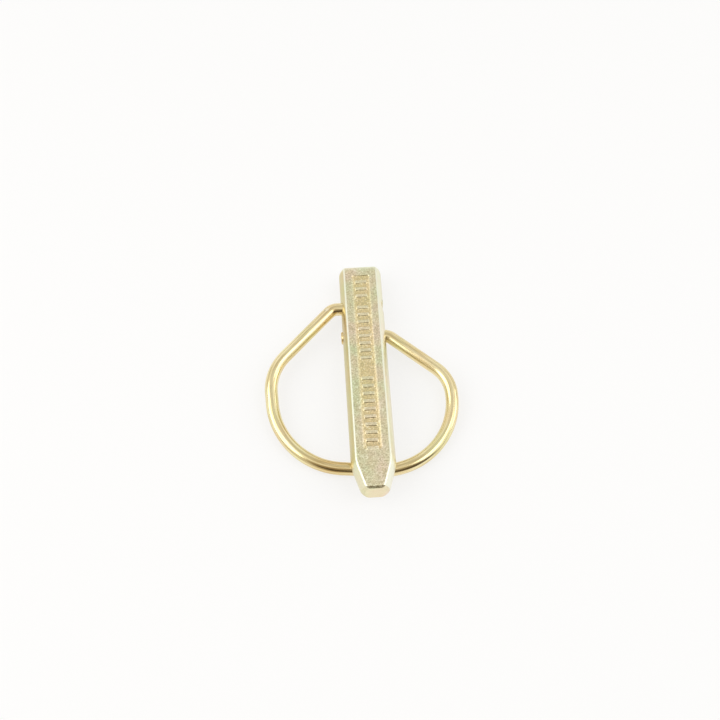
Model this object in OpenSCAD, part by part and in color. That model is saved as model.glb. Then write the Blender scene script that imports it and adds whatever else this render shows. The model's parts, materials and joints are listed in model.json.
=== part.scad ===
// Linch pin: a flat-sided pin with a spring wire ring that snaps shut behind it.
// It lies face up, on the rim of its head and the bottom of its ring.
// The tip points to -Y, X runs across the pin and Z is up.

/* [Pin] */

// Diameter of the round bar that the pin is pressed from
pin_w = 10; // [9:0.5:12]

// Thickness across the two pressed flats
pin_t = 6.4; // [5.8:0.1:7.6]

// Length from the head end to the tip end
pin_len = 56.5; // [52:0.5:68]

// Length of the tapered tip
taper_len = 6.2; // [4:0.2:8]

// Width that is left at the tip end
tip_w = 6.2; // [5:0.2:7.4]

// Bevel round the head end
head_bevel = 0.9; // [0.4:0.1:1.2]

// Bevel round the tip end
tip_bevel = 0.5; // [0.2:0.1:0.8]

/* [Front panel] */

// Width of the shallow panel pressed into the front flat
panel_w = 4.4; // [3:0.2:5]

// Depth of that panel
panel_depth = 0.25; // [0.1:0.05:0.4]

// Plain margin between the panel and each end of the straight part
panel_margin = 2.6; // [2:0.2:6]

// Corner radius of the panel
panel_r = 0.7; // [0.3:0.1:1.2]

/* [Wire holes] */

// Distance from the head end to the upper hole, where the left leg goes in
hole_upper = 10.2; // [8:0.2:13]

// Step along the pin from the upper hole to the lower one
hole_step = 7.3; // [6:0.1:9]

// Running clearance on the diameter of each hole
hole_clear = 0.16; // [0.1:0.02:0.3]

// Countersink at the mouth of each hole
hole_sink = 0.2; // [0.1:0.05:0.4]

/* [Spring ring] */

// Diameter of the spring wire
wire_d = 3; // [2.6:0.1:3.4]

// Width of the ring between wire centres
ring_w = 41.1; // [37:0.5:48]

// Sideways offset of the ring, which hangs a little to the left
ring_off = -1.3; // [-2.5:0.1:0]

// Distance from the bottom of the ring to the tip end
ring_setback = 7; // [6:0.2:9]

// Lean of the two long sides
side_lean = 2.6; // [0:0.2:4]

// Lean of the bottom, which runs down to the right
bottom_lean = 6; // [2:0.5:7]

// Distance below the swing axis at which the width is measured
ring_level = 21.6; // [16:0.2:26]

// Distance of the left shoulder below the swing axis
left_shoulder = 11; // [9:0.2:13]

// Distance of the right shoulder below the swing axis
right_shoulder = 14.8; // [13:0.2:16]

// Bend radius of the left shoulder
left_r = 11.4; // [8:0.2:12]

// Bend radius of the right shoulder
right_r = 8.6; // [7:0.2:9.6]

// Bend radius of the left bottom corner
left_corner_r = 17; // [12:0.2:17]

// Bend radius of the right bottom corner
right_corner_r = 16.2; // [12:0.2:16.4]

// Bend radius where each leg turns into its hole
entry_r = 2.6; // [2.2:0.1:3.2]

// Straight reach of the left leg outside its hole, up to the bend
left_stand = 2.1; // [1.4:0.1:3]

// Straight reach of the right leg outside its hole, up to the bend
right_stand = 0.6; // [0.5:0.1:2]

// How far the left leg's end stops short of the pin's right side
end_short = 0.3; // [0.1:0.1:1]

// How far the right leg's end stands out of the pin's left side
end_proud = 0.35; // [0.1:0.05:1]

// Gap between the closed ring and the back of the pin
rest_gap = 0.1; // [0.05:0.05:0.3]

/* [Hidden] */

$fn = 96;

// Half sizes of the pin
half_w = pin_w / 2;
half_t = pin_t / 2;
flat_half = sqrt(half_w * half_w - half_t * half_t);
taper_start = pin_len - taper_len;
taper_angle = atan((pin_w - tip_w) / 2 / taper_len);

// The leaning sides meet the round bar a little before the taper starts
taper_lead = half_w / 8;

// The swing axis lies halfway between the two holes
swing_v = hole_upper + hole_step / 2;
ring_drop = pin_len - ring_setback - swing_v;

// The closed ring slopes back so that its bottom clears the back flat
ring_slope = asin((half_t + wire_d / 2 + rest_gap) / (ring_drop - flat_half * tan(bottom_lean)));
hole_rise = hole_step / 2 * tan(ring_slope);
stub_w = hole_step / 2 / cos(ring_slope);
hole_d = wire_d + hole_clear;

// Corners of the wire path in the ring's own plane, with Y up towards the head
left_x = ring_off - ring_w / 2;
right_x = ring_off + ring_w / 2;

// X of a leaning side at a depth below the swing axis
function side_x(x, depth) = x + (depth - ring_level) * tan(side_lean);

// Where a leaning side meets the leaning bottom
function corner(x) = let (
    k = tan(side_lean),
    s = tan(bottom_lean),
    cx = (x + (ring_drop - ring_level) * k) / (1 - s * k)
  ) [cx, -ring_drop - cx * s];

path = [
  [half_w - end_short, stub_w],
  [-half_w - left_stand, stub_w],
  [side_x(left_x, left_shoulder), -left_shoulder],
  corner(left_x),
  corner(right_x),
  [side_x(right_x, right_shoulder), -right_shoulder],
  [half_w + right_stand, -stub_w],
  [-half_w - end_proud, -stub_w]
];
last = len(path) - 1;

// Direction of a straight run, and the turn at a corner
function unit(v) = v / norm(v);
function run(i) = unit(path[i + 1] - path[i]);
function cross_z(a, b) = a.x * b.y - a.y * b.x;
function turn(i) = atan2(cross_z(run(i - 1), run(i)), run(i - 1) * run(i));

// Each straight run enters its bends by this length and is thinner by this step
run_in = 0.15;
run_step = 0.015;

// A bottom corner's bend is limited by the side that it shares with a shoulder
function shared(i, j) = norm(path[i] - path[j]) - radii_asked[j] * tan(abs(turn(j)) / 2) - 2 * run_in;
function limited(i, j) = min(radii_asked[i], shared(i, j) / tan(abs(turn(i)) / 2));
radii_asked = [0, entry_r, left_r, left_corner_r, right_corner_r, right_r, entry_r, 0];
radii = [0, entry_r, left_r, limited(3, 2), limited(4, 5), right_r, entry_r, 0];

// Where a bend begins and ends, and its centre
function cut(i) = (i == 0 || i == last) ? 0 : radii[i] * tan(abs(turn(i)) / 2);
function bend_from(i) = path[i] - run(i - 1) * cut(i);
function bend_to(i) = (i == 0 || i == last) ? path[i] : path[i] + run(i) * cut(i);
function inward(i) = [-run(i - 1).y, run(i - 1).x] * sign(turn(i));
function bend_mid(i) = bend_from(i) + inward(i) * radii[i];

// How far the ring reaches
ring_left = min(bend_mid(2).x - radii[2], bend_mid(3).x - radii[3]) - wire_d / 2;
ring_right = max(bend_mid(4).x + radii[4], bend_mid(5).x + radii[5]) + wire_d / 2;
ring_reach = max(radii[3] - bend_mid(3).y, radii[4] - bend_mid(4).y);

// Resting tilt, from the lower rim of the head and the bottom of the ring
rest_a = swing_v + ring_reach * cos(ring_slope) - head_bevel;
rest_b = ring_reach * sin(ring_slope) - half_t;
tilt = atan2(rest_b, rest_a) + asin(wire_d / 2 / norm([rest_a, rest_b]));
lift = half_t * cos(tilt) - head_bevel * sin(tilt);

// The origin is the middle of the footprint, on the floor
mid_x = (ring_left + ring_right) / 2;
back_y = (half_t - head_bevel) * sin(tilt);
front_y = -pin_len * cos(tilt) - (half_t - tip_bevel) * sin(tilt);
mid_y = (back_y + front_y) / 2;

// Lays the pin's own frame down on the floor
module lay() {
  translate([-mid_x, -mid_y, lift]) rotate([-tilt, 0, 0]) children();
}

// A round bar along the pin between two distances from the head
module bar(r, from, to) {
  translate([0, -from, 0]) rotate([90, 0, 0]) cylinder(r = r, h = to - from);
}

// A leaning bar that shapes one side of the tip
module taper_bar(side) {
  translate([side * half_w, -taper_start, 0])
    rotate([0, 0, side * -taper_angle])
      translate([-side * half_w, pin_len / 2, 0])
        rotate([90, 0, 0]) cylinder(r = half_w, h = pin_len);
}

// Side view of the pin, with both ends bevelled
module side_view() {
  rotate([90, 0, 90])
    linear_extrude(height = pin_w + 2, center = true)
      polygon([
        [0, half_t - head_bevel],
        [-head_bevel, half_t],
        [-pin_len + tip_bevel, half_t],
        [-pin_len, half_t - tip_bevel],
        [-pin_len, -half_t + tip_bevel],
        [-pin_len + tip_bevel, -half_t],
        [-head_bevel, -half_t],
        [0, -half_t + head_bevel]
      ]);
}

// Round stock with a conical head rim and two leaning sides at the tip
module stock() {
  seam = taper_start - taper_lead;
  rotate([90, 0, 0]) cylinder(r1 = half_w - head_bevel, r2 = half_w, h = head_bevel);
  bar(half_w, head_bevel, seam);
  intersection() {
    bar(half_w, seam, pin_len);
    taper_bar(1);
    taper_bar(-1);
  }
}

// One wire hole across the pin, countersunk at both mouths
module wire_hole(v, z) {
  translate([0, -v, z]) rotate([0, 90, 0]) {
    cylinder(d = hole_d, h = pin_w + 2, center = true);
    for (end = [0, 1]) mirror([0, 0, end])
      translate([0, 0, half_w - hole_sink])
        cylinder(d1 = hole_d, d2 = hole_d + 4 * hole_sink, h = 2 * hole_sink);
  }
}

// The shallow panel in the front flat
module panel() {
  panel_len = taper_start - 2 * panel_margin;
  translate([0, -taper_start / 2, half_t - panel_depth])
    linear_extrude(height = panel_depth + 1) {
      square([panel_w - 2 * panel_r, panel_len], center = true);
      square([panel_w, panel_len - 2 * panel_r], center = true);
      for (x = [-1, 1], y = [-1, 1])
        translate([x * (panel_w / 2 - panel_r), y * (panel_len / 2 - panel_r)]) circle(r = panel_r);
    }
}

// One straight run of the wire, a hair thinner than the bends that it runs into
module straight(i) {
  from = bend_to(i) - run(i) * (i == 0 ? 0 : run_in);
  to = i + 1 == last ? path[last] : bend_from(i + 1) + run(i) * run_in;
  translate([from.x, from.y, 0])
    rotate([0, 90, atan2(run(i).y, run(i).x)])
      cylinder(d = wire_d - 2 * run_step, h = norm(to - from));
}

// One bend of the wire
module bend(i) {
  spoke = bend_from(i) - bend_mid(i);
  first = atan2(spoke.y, spoke.x);
  translate([bend_mid(i).x, bend_mid(i).y, 0])
    rotate([0, 0, turn(i) > 0 ? first : first + turn(i)])
      rotate_extrude(angle = abs(turn(i)))
        translate([radii[i], 0]) circle(d = wire_d);
}

// The pin: round bar pressed flat front and back, tapered to its tip
module pin() {
  color([0.83, 0.79, 0.62])
    lay()
      difference() {
        intersection() {
          side_view();
          stock();
        }
        wire_hole(hole_upper, hole_rise);
        wire_hole(hole_upper + hole_step, -hole_rise);
        panel();
      }
}

// The spring ring: one bent wire with an end in each hole
module spring_ring() {
  color([0.86, 0.72, 0.38])
    lay()
      translate([0, -swing_v, 0])
        rotate([ring_slope, 0, 0]) {
          for (i = [0 : last - 1]) straight(i);
          for (i = [1 : last - 1]) bend(i);
        }
}

pin();
spring_ring();
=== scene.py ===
# %% [markdown]
# # A linch pin in yellow zinc
# A linch pin is a forged pin with a spring wire ring. The pin goes through a
# cross hole in a shaft, and the ring swings over the end and snaps shut
# behind it. This lesson dresses the two solids: the pin gets soft forged
# edges and raised ribs, the ring gets a smooth drawn wire, and both get
# the straw-gold skin that yellow zinc plating leaves on steel.

# %% Load the solids
import json
import math
import bpy
import numpy as np
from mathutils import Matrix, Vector


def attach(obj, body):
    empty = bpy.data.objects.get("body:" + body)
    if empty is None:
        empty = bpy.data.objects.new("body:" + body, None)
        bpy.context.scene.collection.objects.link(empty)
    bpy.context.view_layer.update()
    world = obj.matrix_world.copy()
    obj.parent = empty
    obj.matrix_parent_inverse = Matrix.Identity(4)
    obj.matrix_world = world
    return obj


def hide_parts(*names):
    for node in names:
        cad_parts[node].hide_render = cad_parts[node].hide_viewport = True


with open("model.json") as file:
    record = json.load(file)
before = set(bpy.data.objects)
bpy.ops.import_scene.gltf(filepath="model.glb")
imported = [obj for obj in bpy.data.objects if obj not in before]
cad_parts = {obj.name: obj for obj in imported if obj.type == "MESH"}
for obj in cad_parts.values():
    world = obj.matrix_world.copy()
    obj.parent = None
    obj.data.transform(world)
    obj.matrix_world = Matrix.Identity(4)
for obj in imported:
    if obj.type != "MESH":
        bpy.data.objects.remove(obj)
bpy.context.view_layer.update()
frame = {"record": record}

# %% [markdown]
# ## Finding the pin in space
# The pin lies slightly tilted, on its head rim and on the ring. Its own
# directions could be typed in as angles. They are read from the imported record
# instead, where the shank's mount gives the tip and the way it points, so the
# dressed pin can't drift away from the solid one.

# %% The pin's own directions
MM = 0.001
shank = frame["record"]["mounts"][0]
tip_end = np.array(shank["pos_m"])
along = np.array(Vector(shank["axis"]).normalized())
across = np.array((1.0, 0.0, 0.0))
outward = np.cross(along, across)

pin_w, pin_t, pin_len = 10.0, 6.4, 56.5
head_end = tip_end - along * pin_len * MM


def in_row(x, v, z):
    """Arrays in the pin's own millimetres to points in the row's metres."""
    x, v, z = (a[..., None] for a in np.broadcast_arrays(x, v, z))
    points = head_end + MM * (x * across + v * along + z * outward)
    return points.reshape(-1, 3)


print("pin tilts", round(math.degrees(math.asin(along[2])), 2), "degrees")

# %% [markdown]
# ## Soft edges
# A forged edge is never sharp. A bevel modifier could round it, but this
# pin is a loft of many cross-sections, and there a smooth minimum is simpler:
# where two surfaces meet, it takes the lower one and rounds the meeting.

# %% Rounding helpers
def soft_min(a, b, k):
    h = np.clip(0.5 + 0.5 * (b - a) / k, 0, 1)
    return b * (1 - h) + a * h - k * h * (1 - h)


def slope(start, end, t):
    s = np.clip((t - start) / (end - start), 0, 1)
    return s * s * (3 - 2 * s)


def round_box(x, y, half_x, half_y, r):
    """Distance to a rectangle with round corners, negative inside it."""
    qx, qy = np.abs(x) - half_x + r, np.abs(y) - half_y + r
    out = np.hypot(np.maximum(qx, 0), np.maximum(qy, 0))
    return out + np.minimum(np.maximum(qx, qy), 0) - r


print("soft corner of 1 and 1:", float(soft_min(np.array(1.0), 1.0, 0.4)))

# %% [markdown]
# ## The face of the pin
# The die presses a long shallow panel into the front flat and leaves raised
# ribs standing in it. They could be separate little boxes, but then their
# feet would be hard lines. A height field on a fine grid gives each wall the
# soft slope that pressed steel has.

# %% Height of the front flat
half_w, half_t = pin_w / 2, pin_t / 2
taper_len, tip_w = 6.2, 6.2
taper_start = pin_len - taper_len
panel_w, panel_depth, panel_margin, panel_r = 4.4, 0.25, 2.6, 0.7
rib_height, rib_half_len, rib_pitch = 0.22, 1.45, 1.9

# where each group of plain cross ribs begins, and how many it has
rib_groups = [(4.4, 3), (11.4, 8), (30.0, 10)]


def panel_floor(x, v):
    """0 on the flat, 1 on the floor; the right and upper walls are steeper."""
    middle = taper_start / 2
    d = round_box(x, v - middle, panel_w / 2, middle - panel_margin, panel_r)
    wide = 0.75 - 0.2 * slope(-1.0, 1.0, x)
    wide = wide * (1 - 0.5 * slope(0.9, 0.4, v - panel_margin))
    return slope(0.05, -1, d / wide)


def rib_tops(x, v):
    """1 on top of each rib, 0 between them."""
    tops = 0 * x * v
    for first, count in rib_groups:
        for k in range(count):
            d = round_box(x, v - first - k * rib_pitch, rib_half_len, 0.5, 0.25)
            tops = tops + slope(0.1, -0.2, d)
    return tops


def face_height(x, v):
    return rib_height * rib_tops(x, v) - panel_depth * panel_floor(x, v)


print("ribs:", sum(count for _, count in rib_groups))

# %% [markdown]
# ## The cross-sections of the pin
# The pin was pressed from round bar, so it is flat in front and behind and
# still round at its sides. The rim of its head is softly rounded, and its tip
# leans in from both sides. Each cross-section is one closed loop of points:
# the front flat, a round edge, a round side, and the same again behind. Loops
# give full control of where the points are dense, which a plain cube with
# modifiers doesn't.

# %% How wide and how thick the pin is
# the head draws in a hair more than the solid's bevel, to stay inside it
head_bevel, tip_bevel, edge_round = 0.93, 0.5, 0.34
head_run, rim_run = 1.6, 1.2
lean = math.atan((pin_w - tip_w) / 2 / taper_len)


def end_round(v, r):
    """How far the surface has drawn in just before the tip end."""
    near = np.clip(1 - (pin_len - v) / r, 0, 1)
    return r * (1 - np.sqrt(1 - near * near))


def head_drop(v, run):
    """How far the surface falls away over the rounding of the head."""
    near = np.clip(1 - v / run, 0, 1)
    return head_bevel * (1 - np.sqrt(1 - near * near))


def flat_level(v):
    level = half_t - head_drop(v, head_run)
    return soft_min(level, half_t - tip_bevel + pin_len - v, 0.12)


def side_reach(v, z):
    bar = half_w - head_drop(v, rim_run)
    straight = np.sqrt(np.maximum(bar * bar - z * z, 0.01))
    drop = half_w - np.sqrt(half_w * half_w - z * z)
    leaning = half_w - (v - taper_start) * math.tan(lean) - drop / math.cos(lean)
    return soft_min(straight, leaning, 0.4) - end_round(v, 0.9)


stations = np.concatenate([
    head_run * (1 - np.cos(np.linspace(0, math.pi / 2, 24, endpoint=False))),
    np.arange(head_run, taper_start - 1.2, 0.1),
    np.arange(taper_start - 1.2, pin_len - 1, 0.1),
    pin_len - 1 + np.sin(np.linspace(0, math.pi / 2, 16)),
])
print("stations:", len(stations), "tip lean:", round(math.degrees(lean), 1))

# %% One closed loop at every station
n_front, n_round, n_side, n_back = 63, 4, 15, 9


def pin_loops(v):
    v = v[:, None]
    level = flat_level(v)
    edge = side_reach(v, level)
    foot = level - 0.8 * edge_round
    s = np.linspace(0, 1, n_round + 2)[1:-1]
    corner_x = ((1 - s) ** 2 * (edge - edge_round) + 2 * s * (1 - s) * edge
                + s ** 2 * side_reach(v, foot))
    corner_z = ((1 - s) ** 2 + 2 * s * (1 - s)) * level + s ** 2 * foot
    side_z = foot * np.linspace(1, -1, n_side)
    side_x = side_reach(v, side_z)
    front_x = np.linspace(-1, 1, n_front) * (edge - edge_round)
    back_x = np.linspace(1, -1, n_back) * (edge - edge_round)
    right_x = np.hstack([corner_x, side_x, corner_x[:, ::-1]])
    right_z = np.hstack([corner_z, side_z, -corner_z[:, ::-1]])
    x = np.hstack([front_x, right_x, back_x, -right_x[:, ::-1]])
    z = np.hstack([level + face_height(front_x, v), right_z,
                   -level + 0 * back_x, right_z[:, ::-1]])
    return x, z


# which points of a loop lie on which surface, and where each round edge begins
n_flank = n_side + 2 * n_round
front, right = slice(0, n_front), slice(n_front, n_front + n_flank)
left = slice(right.stop + n_back, right.stop + n_back + n_flank)
round_edges = (right.start, right.stop - n_round, left.start, left.stop - n_round)
loop_x, loop_z = pin_loops(stations)
print("loop points:", loop_x.shape[1], "half width:", loop_x.max())

# %% [markdown]
# ## Skinning the loops
# Faces between neighbouring loops could come from Blender's bridge tool. Here
# every loop has the same number of points, so the faces are plain counting.
# The two ends are closed with smaller copies of the end loop, which keeps the
# shading flat there.

# %% Mesh helpers
def skin(rings, per_ring):
    """Quads between rings of points, rings one after the other."""
    first = np.arange(rings - 1)[:, None] * per_ring
    here = np.arange(per_ring)
    then = (here + 1) % per_ring
    quads = np.stack([first + here, first + per_ring + here,
                      first + per_ring + then, first + then], -1)
    return quads.reshape(-1, 4)


def end_caps(rings, per_ring):
    """One face across the first ring and one across the last."""
    last = rings * per_ring - 1
    return [list(range(per_ring)), list(range(last, last - per_ring, -1))]


def make_piece(name, points, faces):
    mesh = bpy.data.meshes.new(name)
    mesh.from_pydata(points.tolist(), [], faces)
    mesh.validate()
    mesh.polygons.foreach_set("use_smooth", [True] * len(mesh.polygons))
    piece = bpy.data.objects.new(name, mesh)
    bpy.context.scene.collection.objects.link(piece)
    return piece


def give_values(piece, name, values):
    """Stores one number or one vector for each point, for the materials."""
    kind = "FLOAT" if values.ndim == 1 else "FLOAT_VECTOR"
    field = piece.data.attributes.new(name, kind, "POINT")
    key = "value" if values.ndim == 1 else "vector"
    field.data.foreach_set(key, values.astype(np.float32).ravel())


print("skin of 3 rings of 4:", len(skin(3, 4)), "quads")

# %% The pin's own mesh
shrink = np.array([0.9, 0.97])
all_v = np.concatenate([0 * shrink, stations, pin_len + 0 * shrink])
all_x = np.vstack([shrink[:, None] * loop_x[0], loop_x,
                   shrink[::-1, None] * loop_x[-1]])
all_z = np.vstack([shrink[:, None] * loop_z[0], loop_z,
                   shrink[::-1, None] * loop_z[-1]])
n_ring, n_loop = all_x.shape
forged_pin = make_piece("forged_pin", in_row(all_x, all_v[:, None], all_z),
                        skin(n_ring, n_loop).tolist() + end_caps(n_ring, n_loop))
print("pin points:", len(forged_pin.data.vertices))

# %% [markdown]
# ## Where the skin differs
# No pin is plated evenly. The long edges, the right side, the tapers and the
# rounded head get painted highlights, paler colour standing in for the light
# they catch, and the rib tops are paler from wear. The round sides slid along
# the die and the ends were cut, so those are smoother. The panel gets a painted
# golden reflection, standing in for light bounced between its walls, and the
# sides get painted shade. These could be painted by hand on the mesh.
# Each is one number at every point instead, worked out from where the point
# is, and the finish reads it later.

# %% Painted highlights on edges, sides, tapers and head; wear on the ribs
across_panel, down_pin = all_x[:, front], all_v[:, None]
at_tip_end = all_v == pin_len
on_taper = slope(taper_start - 0.4, taper_start + 0.4, down_pin)
toward_back = np.linspace(0, 1, n_flank)
raised = rib_tops(across_panel, down_pin)

# painted highlights: paler colour on the round edges, the right side, the tapers and
# the head's rounding where they catch the light; the rib tops are paler from wear
highlight_and_wear = np.zeros((n_ring, n_loop))
highlight_and_wear[:, right] = (0.7 - 0.5 * toward_back
                 + 0.5 * on_taper * (1 - 0.6 * toward_back))
highlight_and_wear[:, left] = 0.3 * on_taper
for first in round_edges:
    highlight_and_wear[:, first:first + n_round] = (0.7, 1.0, 1.0, 0.7)
highlight_and_wear[:, front] = np.maximum(highlight_and_wear[:, front], 0.25 * raised)
highlight_and_wear = np.maximum(highlight_and_wear, 0.5 * slope(head_run, 0.3, down_pin))
highlight_and_wear[(all_v == 0) | (all_v > pin_len - tip_bevel)] = 0.0
highlight_and_wear[at_tip_end] = 0.1
give_values(forged_pin, "highlight_and_wear", highlight_and_wear.ravel())
print("rubbed share of the skin:", round(float(highlight_and_wear.mean()), 2))

# %% Smooth places, the panel's painted golden reflection and painted shade on the sides
smooth = np.zeros((n_ring, n_loop))
smooth[:, right] = smooth[:, left] = 0.75
smooth[(all_v < 0.5) | at_tip_end] = 0.8
give_values(forged_pin, "smooth", smooth.ravel())

# painted golden reflection in the panel recess, standing in for light bounced between
# its walls, kept off the rib tops; the tip's end face gets a plain golden tint
gold_reflection_and_tint = np.zeros((n_ring, n_loop))
gold_reflection_and_tint[:, front] = panel_floor(across_panel, down_pin) - 0.4 * raised
gold_reflection_and_tint[at_tip_end] = 0.4
give_values(forged_pin, "gold_reflection_and_tint", gold_reflection_and_tint.ravel())

# painted shade on both sides, growing towards the back on the right; the front edges
# of both sides and the two ends are left out of it
shade_and_streaks = np.zeros((n_ring, n_loop))
shade_and_streaks[:, right.start + n_round:right.stop] = (
    0.7 * slope(0.1, 0.7, toward_back[n_round:]) * (1 - on_taper))
shade_and_streaks[:, left.start:left.stop - n_round] = 0.65 * (1 - 0.6 * on_taper)
shade_and_streaks = shade_and_streaks * slope(0.0, head_run, down_pin)
shade_and_streaks[at_tip_end] = 0.0
give_values(forged_pin, "shade_and_streaks", shade_and_streaks.ravel())
print("values on the pin:", [name for name in ("highlight_and_wear", "smooth", "gold_reflection_and_tint", "shade_and_streaks")
                             if name in forged_pin.data.attributes])

# %% [markdown]
# ## Drilling the holes
# Two holes go across the pin, one a step below the other, and each mouth is
# lightly countersunk. The loops could be broken open round every mouth, but a
# boolean cut is how the real hole came about: the drill is a solid, and what
# it touches goes away.

# %% The two wire holes
hole_d, hole_sink = 3.16, 0.2
hole_upper, hole_step = 10.2, 7.3
turns = np.linspace(0, 2 * math.pi, 48, endpoint=False)


def drill(name, v, z):
    reach = half_w + np.array([1, hole_sink, -hole_sink])
    reach = np.concatenate([-reach, reach[::-1]])[:, None]
    wide = hole_d / 2 + hole_sink * np.array([2, 2, 0, 0, 2, 2])[:, None]
    points = in_row(reach, v + wide * np.cos(turns), z + wide * np.sin(turns))
    rings, per_ring = len(reach), len(turns)
    faces = skin(rings, per_ring).tolist() + end_caps(rings, per_ring)
    return make_piece(name, points, faces)


def cut_hole(piece, cutter):
    cut = piece.modifiers.new("hole", "BOOLEAN")
    cut.operation, cut.solver, cut.object = "DIFFERENCE", "EXACT", cutter
    shown = piece.evaluated_get(bpy.context.evaluated_depsgraph_get())
    drilled = bpy.data.meshes.new_from_object(shown)
    piece.modifiers.remove(cut)
    piece.data = drilled
    bpy.data.objects.remove(cutter)


# the ring's plane slopes back to the bottom of the pin, so the holes step too
wire_d, ring_slope = 3.0, math.radians(7.82714)
hole_rise = hole_step / 2 * math.tan(ring_slope)
cut_hole(forged_pin, drill("upper_drill", hole_upper, hole_rise))
cut_hole(forged_pin, drill("lower_drill", hole_upper + hole_step, -hole_rise))
print("pin faces after drilling:", len(forged_pin.data.polygons))

# %% [markdown]
# ## The spring wire
# The ring is one length of spring wire bent over round pegs. A curve with a
# bevel would sweep it in two lines. The loops are swept by hand here, because
# the wire then keeps its own straightened coordinates: how far along it a
# point is, and on which side. Drawing lines follow the wire, so the plating
# needs those.

# %% The middle line of the wire
# corners in the ring's own plane, from the end in the upper hole to the other
wire_corners = np.array([
    (4.7, 3.6843), (-7.1, 3.6843), (-22.3313, -11.0), (-21.3137, -33.4098),
    (19.9834, -37.7503), (18.9412, -14.8), (5.6, -3.6843), (-5.35, -3.6843)])
bend_radii = [0, 2.6, 11.4, 17.0, 16.2, 8.6, 2.6, 0]


def round_bend(before, corner, after, r):
    a = (corner - before) / np.linalg.norm(corner - before)
    b = (after - corner) / np.linalg.norm(after - corner)
    turn = math.atan2(a[0] * b[1] - a[1] * b[0], a @ b)
    side = np.array([-a[1], a[0]]) * math.copysign(r, turn)
    start = corner - a * r * math.tan(abs(turn) / 2)
    steps = max(8, int(abs(turn) * r / 0.1))
    angles = np.linspace(0, abs(turn), steps)[:, None]
    return start + side * (1 - np.cos(angles)) + a * r * np.sin(angles)


line = [wire_corners[:1]]
for i in range(1, len(wire_corners) - 1):
    line.append(round_bend(*wire_corners[i - 1:i + 2], bend_radii[i]))
line = np.vstack(line + [wire_corners[-1:]])
gaps = np.linalg.norm(np.diff(line, axis=0), axis=1)
knots = np.concatenate([[0], np.cumsum(gaps)])
wire_len = knots[-1]
print("wire length:", round(wire_len, 1), "mm")

# %% [markdown]
# ## Sweeping the wire
# A round loop follows the middle line. Real wire is not quite a perfect tube:
# the cutter leaves a small bevel at each end, and the bending tool leaves a
# nick at the tight bend beside the pin. Both are made by moving points of the
# loops, so the nick has a real floor that catches the light.

# %% Loops along the wire
wire_r = wire_d / 2 - 0.005
end_spots = np.array([0, 0.06, 0.15, 0.28])
spots = np.concatenate([end_spots, np.arange(0.5, wire_len - 0.4, 0.3),
                        wire_len - end_spots[::-1]])
mid_x = np.interp(spots, knots, line[:, 0])
mid_y = np.interp(spots, knots, line[:, 1])
ahead = np.stack([np.interp(spots + d, knots, line[:, k])
                  for d in (0.05, -0.05) for k in (0, 1)])
run_x, run_y = ahead[0] - ahead[2], ahead[1] - ahead[3]
run_x, run_y = run_x / np.hypot(run_x, run_y), run_y / np.hypot(run_x, run_y)

from_end = np.minimum(spots, wire_len - spots)
bevel = 0.22 * np.clip(1 - from_end / end_spots[-1], 0, 1) ** 2
around = np.linspace(0, 2 * math.pi, 40, endpoint=False)
out_side, up_side = np.cos(around), np.sin(around)
loop_r = (wire_r - bevel)[:, None]
wire_x = mid_x[:, None] + loop_r * run_y[:, None] * out_side
wire_y = mid_y[:, None] - loop_r * run_x[:, None] * out_side
wire_z = loop_r * up_side
print("wire loops:", len(spots))

# %% The nick that the bending tool left
nick = np.array([-8.6, 3.3, 1.35])
off = np.sqrt(((wire_x - nick[0]) / 1.0) ** 2 + ((wire_y - nick[1]) / 0.6) ** 2
              + ((wire_z - nick[2]) / 0.6) ** 2)
dent = 0.12 * slope(1.0, 0.3, off)
wire_z = wire_z - dent
print("nick depth:", round(float(dent.max()), 2), "mm")

# %% The wire's own mesh
swing_v = hole_upper + hole_step / 2


def in_ring(x, y, z):
    """The ring's own plane to the row: it slopes back from the swing line."""
    v = swing_v - y * math.cos(ring_slope) + z * math.sin(ring_slope)
    return in_row(x, v, y * math.sin(ring_slope) + z * math.cos(ring_slope))


n_ring, n_loop = wire_x.shape
spring_wire = make_piece("spring_wire", in_ring(wire_x, wire_y, wire_z),
                         skin(n_ring, n_loop).tolist() + end_caps(n_ring, n_loop))
drawn = np.stack(np.broadcast_arrays(spots[:, None], wire_r * out_side,
                                     wire_r * up_side), -1).reshape(-1, 3)
give_values(spring_wire, "drawn", drawn)
give_values(spring_wire, "highlight_and_wear", np.clip(dent / 0.08, 0, 1).ravel())
# the wire is browner in streaks around its lowest bend, and painted shade darkens the
# cut ends where they sit in the hole mouths
lowest_bend, streak_spread = 62, 6
shade_and_streaks = np.exp(-((spots - lowest_bend) / streak_spread) ** 2) + slope(0.5, 0.2, from_end)
shade_and_streaks = shade_and_streaks[:, None] + 0 * wire_x
give_values(spring_wire, "shade_and_streaks", shade_and_streaks.ravel())
print("wire points:", len(spring_wire.data.vertices))

# %% [markdown]
# ## Joining the pieces to the solids
# Each dressed piece takes the place of one solid and moves with that solid's
# body.

# %% Pieces and bodies
for piece, node, body, plate in (
        (forged_pin, "pin", "pin", "pin_plate"),
        (spring_wire, "spring_ring", "ring", "ring_plate")):
    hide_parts(node)
    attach(piece, body)
print("dressed:", forged_pin.name, spring_wire.name)

# %% [markdown]
# ## Yellow zinc
# Zinc is plated on the steel and then dipped in a chromate bath, which leaves
# a thin film of straw gold with green and rose in it. It is a metal, so the
# colour belongs in the reflection: the metallic shader, no paint. The film
# comes from noise at three sizes: broad patches of tint, a middle cloudiness
# and a fine grain. Colours are written as they look on a screen.

# %% Node helpers
def seen(r, g, b):
    """A colour as seen on a screen, 0 to 255, as the shader wants it."""
    linear = [c / 255 / 12.92 if c < 10.3 else ((c / 255 + 0.055) / 1.055) ** 2.4
              for c in (r, g, b)]
    return (*linear, 1.0)


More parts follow.
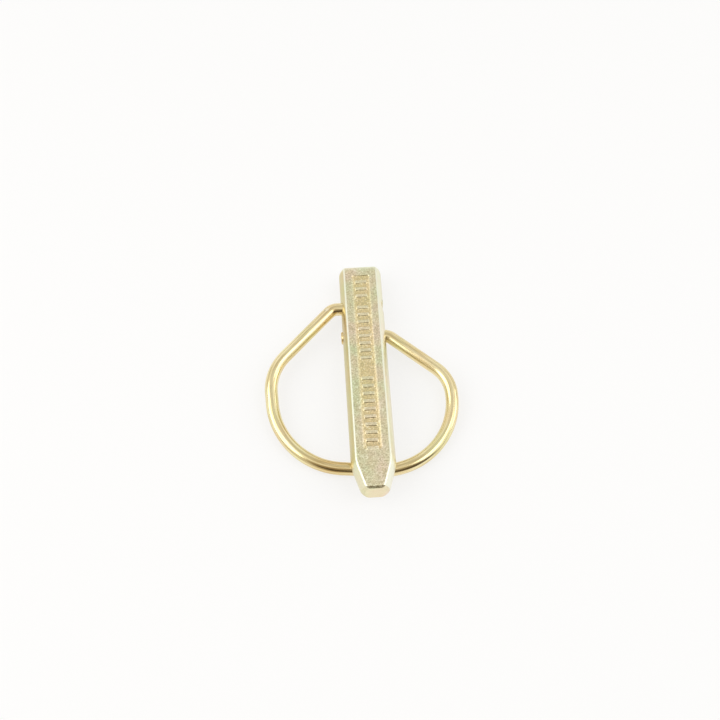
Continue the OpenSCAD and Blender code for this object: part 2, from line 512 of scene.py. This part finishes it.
def put(tree, kind, sockets=None, **settings):
    node = tree.nodes.new(kind)
    for key, value in settings.items():
        setattr(node, key, value)
    for key, value in (sockets or {}).items():
        if isinstance(value, bpy.types.NodeSocket):
            tree.links.new(value, node.inputs[key])
        else:
            node.inputs[key].default_value = value
    return node


def ramp(tree, factor, stops):
    node = put(tree, "ShaderNodeValToRGB", {"Fac": factor})
    node.color_ramp.elements[0].position = stops[0][0]
    node.color_ramp.elements[0].color = stops[0][1]
    node.color_ramp.elements[1].position = stops[-1][0]
    node.color_ramp.elements[1].color = stops[-1][1]
    for place, colour in stops[1:-1]:
        node.color_ramp.elements.new(place).color = colour
    return node.outputs["Color"]


def mix(tree, factor, a, b):
    node = put(tree, "ShaderNodeMix", data_type="RGBA")
    # a mix node keeps its colours on sockets 6 and 7, and gives them on 2
    for place, value in ((0, factor), (6, a), (7, b)):
        if isinstance(value, bpy.types.NodeSocket):
            tree.links.new(value, node.inputs[place])
        else:
            node.inputs[place].default_value = value
    return node.outputs[2]


def noise(tree, vector, scale, detail=3.0, rough=0.55):
    node = put(tree, "ShaderNodeTexNoise",
               {"Vector": vector, "Scale": scale, "Detail": detail,
                "Roughness": rough})
    return node.outputs["Fac"]


def spread(tree, value, low, high, to_low, to_high):
    node = put(tree, "ShaderNodeMapRange",
               {"Value": value, "From Min": low, "From Max": high,
                "To Min": to_low, "To Max": to_high})
    return node.outputs["Result"]


def times(tree, a, b):
    node = put(tree, "ShaderNodeMath", {0: a, 1: b}, operation="MULTIPLY")
    return node.outputs[0]


def stored(tree, name, output="Fac"):
    """A value that was stored on the mesh."""
    node = put(tree, "ShaderNodeAttribute", attribute_name=name)
    return node.outputs[output]


def new_finish(name):
    finish = bpy.data.materials.new(name)
    finish.use_nodes = True
    shader = finish.node_tree.nodes["Principled BSDF"]
    shader.inputs["Metallic"].default_value = 1.0
    return finish, finish.node_tree, shader


print("straw as the shader wants it:", [round(c, 3) for c in seen(228, 216, 176)])

# %% [markdown]
# ## The finish of the pin
# The pin is forged and tumbled before plating, so its skin is satin and finely
# grained. A bump of the grain noise breaks the reflection into specks, dark
# specks of grain darken the colour, and painted glints add bright specks. The
# long edges, the right side, the tapers and the head are paler with painted
# highlights, and the rib tops with wear: a value stored on the mesh picks them
# out. The smooth value calms the grain on the sides and the cut ends, a painted
# golden reflection deepens the gold in the panel, and painted shade browns the sides.

# %% Colour of the satin plating
finish, tree, shader = new_finish("satin_zinc")
place = put(tree, "ShaderNodeTexCoord").outputs["Object"]
patches = noise(tree, place, 140, 2.0)
cloud = noise(tree, place, 520, 3.0)
grain = noise(tree, place, 2900, 3.0, 0.6)
grain_depth = spread(tree, stored(tree, "smooth"), 0.0, 1.0, 1.0, 0.1)

tint = ramp(tree, patches, [(0.37, seen(227, 236, 192)),
                            (0.5, seen(241, 236, 200)),
                            (0.63, seen(247, 228, 203))])
# painted golden reflection in the panel, and a golden tint on the tip's end
gold_share = spread(tree, stored(tree, "gold_reflection_and_tint"), 0.0, 1.0, 0.0, 0.6)
tint = mix(tree, gold_share, tint, seen(248, 218, 142))
clouded = spread(tree, cloud, 0.44, 0.66, 0.0, 0.4)
tint = mix(tree, clouded, tint, seen(238, 219, 174))
specks = times(tree, spread(tree, grain, 0.36, 0.58, 0.75, 0.0), grain_depth)
tint = mix(tree, specks, tint, seen(198, 187, 148))
# painted glints: bright specks painted into the colour where the grain would catch
# the light
painted_glints = times(tree, spread(tree, grain, 0.56, 0.68, 0.0, 0.8), grain_depth)
tint = mix(tree, painted_glints, tint, seen(255, 250, 228))
# painted shade: the sides browner and darker
tint = mix(tree, stored(tree, "shade_and_streaks"), tint, seen(208, 193, 138))
# painted highlights on the edges, sides, tapers and head, and wear on the rib tops
brightened = spread(tree, stored(tree, "highlight_and_wear"), 0.0, 1.0, 0.0, 0.85)
tint = mix(tree, brightened, tint, seen(250, 252, 235))
tree.links.new(tint, shader.inputs["Base Color"])
print("pin colour nodes:", len(tree.nodes))

# %% Gloss and grain of the satin plating
gloss = spread(tree, grain, 0.35, 0.65, 0.28, 0.42)
tree.links.new(gloss, shader.inputs["Roughness"])
bump = put(tree, "ShaderNodeBump", {"Strength": times(tree, grain_depth, 0.85),
                                    "Distance": 0.08 * MM, "Height": grain})
tree.links.new(bump.outputs["Normal"], shader.inputs["Normal"])
forged_pin.data.materials.clear()
forged_pin.data.materials.append(finish)
print("pin finish nodes:", len(tree.nodes))

# %% [markdown]
# ## The finish of the wire
# Wire is drawn through a die, so it is smooth and bright with faint lines
# along it, and the film is deeper and more golden. The straightened
# coordinates stored on the mesh let the noise stretch along the wire.

# %% Colour of the bright plating
finish, tree, shader = new_finish("bright_zinc")
place = stored(tree, "drawn", "Vector")
lengthways = put(tree, "ShaderNodeMapping",
                 {"Vector": place, "Scale": (0.05, 1.0, 1.0)}).outputs["Vector"]
slow = put(tree, "ShaderNodeMapping",
           {"Vector": place, "Scale": (1.0, 0.5, 0.5)}).outputs["Vector"]
lines = noise(tree, lengthways, 2.6, 4.0, 0.65)
patches = noise(tree, slow, 0.12, 2.0)
spotted = noise(tree, place, 2.4, 3.0)

tint = ramp(tree, patches, [(0.33, seen(244, 237, 184)),
                            (0.5, seen(249, 235, 188)),
                            (0.68, seen(250, 229, 182))])
lined = spread(tree, lines, 0.4, 0.56, 0.6, 0.0)
tint = mix(tree, lined, tint, seen(205, 180, 120))
specks = spread(tree, spotted, 0.6, 0.75, 0.0, 0.3)
tint = mix(tree, specks, tint, seen(200, 180, 128))
# browner streaks around the lowest bend, and painted shade at the cut ends
streaks = times(tree, stored(tree, "shade_and_streaks"), spread(tree, lines, 0.4, 0.6, 1.0, 0.4))
tint = mix(tree, streaks, tint, seen(216, 184, 124))
brightened = spread(tree, stored(tree, "highlight_and_wear"), 0.0, 1.0, 0.0, 0.5)
tint = mix(tree, brightened, tint, seen(245, 240, 222))
tree.links.new(tint, shader.inputs["Base Color"])
print("wire colour nodes:", len(tree.nodes))

# %% Gloss and drawing lines of the bright plating
gloss = spread(tree, lines, 0.35, 0.65, 0.1, 0.2)
tree.links.new(gloss, shader.inputs["Roughness"])
bump = put(tree, "ShaderNodeBump", {"Strength": 0.25, "Distance": 0.03 * MM,
                                    "Height": lines})
tree.links.new(bump.outputs["Normal"], shader.inputs["Normal"])
spring_wire.data.materials.clear()
spring_wire.data.materials.append(finish)
print("wire finish nodes:", len(tree.nodes))

# %% [markdown]
# ## The light tent
# Shiny metal shows its surroundings, so the surroundings are the picture. A
# small object like this is shot in a white tent with an opening for the
# camera. The tent could be built from sheets, but the world does it in a few
# nodes: white all round, dimmer high up at the back, shaded along the hem near
# the horizon, and darker where the opening is, above the horizon on the
# camera's side. That dark opening is what draws the brown band along the wire.
# Just above the floor the cloth is white again, so no edge shows from behind.

# %% World: white tent with a dark opening
tent = bpy.data.worlds.new("light_tent")
bpy.context.scene.world = tent
tent.use_nodes = True
tree = tent.node_tree
back = tree.nodes["Background"]
way = put(tree, "ShaderNodeTexCoord").outputs["Generated"]


def fade(value, start, end):
    """0 before the start, 1 after the end."""
    return put(tree, "ShaderNodeMapRange",
               {"Value": value, "From Min": start, "From Max": end},
               interpolation_type="SMOOTHSTEP").outputs["Result"]


def patch(middle, outer, inner):
    """1 in the middle of a round patch of the tent, 0 outside it (degrees)."""
    facing = put(tree, "ShaderNodeVectorMath", {0: way, 1: middle},
                 operation="DOT_PRODUCT").outputs["Value"]
    start, end = (math.cos(math.radians(a)) for a in (outer, inner))
    return fade(facing, start, end)


def toward(right, up):
    """A direction by its angles: right of the camera's side, and up."""
    right, up = math.radians(right), math.radians(up)
    return (math.sin(right) * math.cos(up), -math.cos(right) * math.cos(up),
            math.sin(up))


white, dim = (0.95, 0.94, 0.92, 1), (0.68, 0.665, 0.635, 1)
shade, brown = (0.5, 0.47, 0.42, 1), (0.42, 0.37, 0.29, 1)
dark = (0.1, 0.075, 0.045, 1)
cloth = mix(tree, patch(toward(176, 62), 32, 12), white, dim)
height = put(tree, "ShaderNodeSeparateXYZ", {"Vector": way}).outputs["Z"]
hem = times(tree, fade(height, 0.06, 0.13), fade(height, 0.27, 0.19))
cloth = mix(tree, hem, cloth, shade)
cloth = mix(tree, patch(toward(-2, 36), 44, 26), cloth, brown)
for spot in ((-16, 32), (4, 32), (24, 32), (38, 20)):
    cloth = mix(tree, patch(toward(*spot), 20, 8), cloth, dark)
cloth = mix(tree, fade(height, 0.1, 0.055), cloth, white)
tree.links.new(cloth, back.inputs["Color"])
back.inputs["Strength"].default_value = 1.0
print("tent nodes:", len(tree.nodes))

# %% [markdown]
# ## Floor and lamps
# The floor is white card. A large soft lamp stands on the left, a smaller one
# high on the right and one low on the right. Between them stays a dimmer gap
# behind the pin, so the edges are bright and the face is calm. Bright card also
# fills the shadows: as seen by the camera and in the metal it is partly lit
# from inside, like the glass of a light table.

# %% Lamps
def soft_lamp(name, right, up, half_angle, radiance, away=0.5):
    """A round soft lamp: where it stands, how wide it looks and how bright."""
    size = 2 * away * math.tan(math.radians(half_angle))
    lamp = bpy.data.lights.new(name, "AREA")
    lamp.shape, lamp.size = "DISK", size
    lamp.energy = radiance * math.pi ** 2 * size ** 2 / 4
    stand = bpy.data.objects.new(name, lamp)
    stand.location = away * Vector(toward(right, up))
    stand.rotation_euler = (-stand.location).to_track_quat("-Z", "Y").to_euler()
    bpy.context.scene.collection.objects.link(stand)
    print(name, "watts", round(lamp.energy, 2))


soft_lamp("left_lamp", -85, 43, 25, 1.22)
soft_lamp("right_lamp", 72, 57, 17, 1.17)
soft_lamp("low_lamp", 95, 24, 15, 1.02)

# %% Floor
reach = 2.0
corners = reach * np.array([(-1, -1, 0), (1, -1, 0), (1, 1, 0), (-1, 1, 0)])
card = make_piece("floor_card", corners, [(0, 1, 2, 3)])
finish, tree, shader = new_finish("white_card")
shader.inputs["Metallic"].default_value = 0.0
shader.inputs["Base Color"].default_value = (0.94, 0.935, 0.925, 1.0)
shader.inputs["Roughness"].default_value = 0.9
rays = put(tree, "ShaderNodeLightPath").outputs
looked_at = rays["Is Camera Ray"]
for kind in ("Is Glossy Ray", "Is Transmission Ray"):
    looked_at = put(tree, "ShaderNodeMath", {0: looked_at, 1: rays[kind]},
                    operation="ADD", use_clamp=True).outputs[0]
glow_share = 0.72
share = times(tree, looked_at, glow_share)
glow = put(tree, "ShaderNodeEmission",
           {"Color": (1, 1, 1, 1), "Strength": 1.0}).outputs[0]
both = put(tree, "ShaderNodeMixShader", {0: share, 1: shader.outputs[0], 2: glow})
tree.links.new(both.outputs[0], tree.nodes["Material Output"].inputs["Surface"])
card.data.materials.append(finish)
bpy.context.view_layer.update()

# %% [markdown]
# ## Camera
# The camera looks down steeply from the tip's side. Its place comes from a fit
# of the solids' corners to the picture, and a square frame is assumed.

# %% Camera
aim = Vector((0.25, 6.634, 0)) * MM
turn, rise, away = math.radians(-3.55), math.radians(65.797), 260.693 * MM
eye = bpy.data.objects.new("camera", bpy.data.cameras.new("camera"))
eye.data.sensor_fit, eye.data.sensor_width = "HORIZONTAL", 36
eye.data.lens = 18 / math.tan(math.radians(18))
eye.data.clip_start = 0.01
eye.location = aim + away * Vector((math.sin(turn) * math.cos(rise),
                                    -math.cos(turn) * math.cos(rise), math.sin(rise)))
eye.rotation_euler = (aim - eye.location).to_track_quat("-Z", "Y").to_euler()
bpy.context.scene.collection.objects.link(eye)
bpy.context.scene.camera = eye
bpy.context.scene.view_settings.view_transform = "Standard"
print("lens:", round(eye.data.lens, 1), "mm")
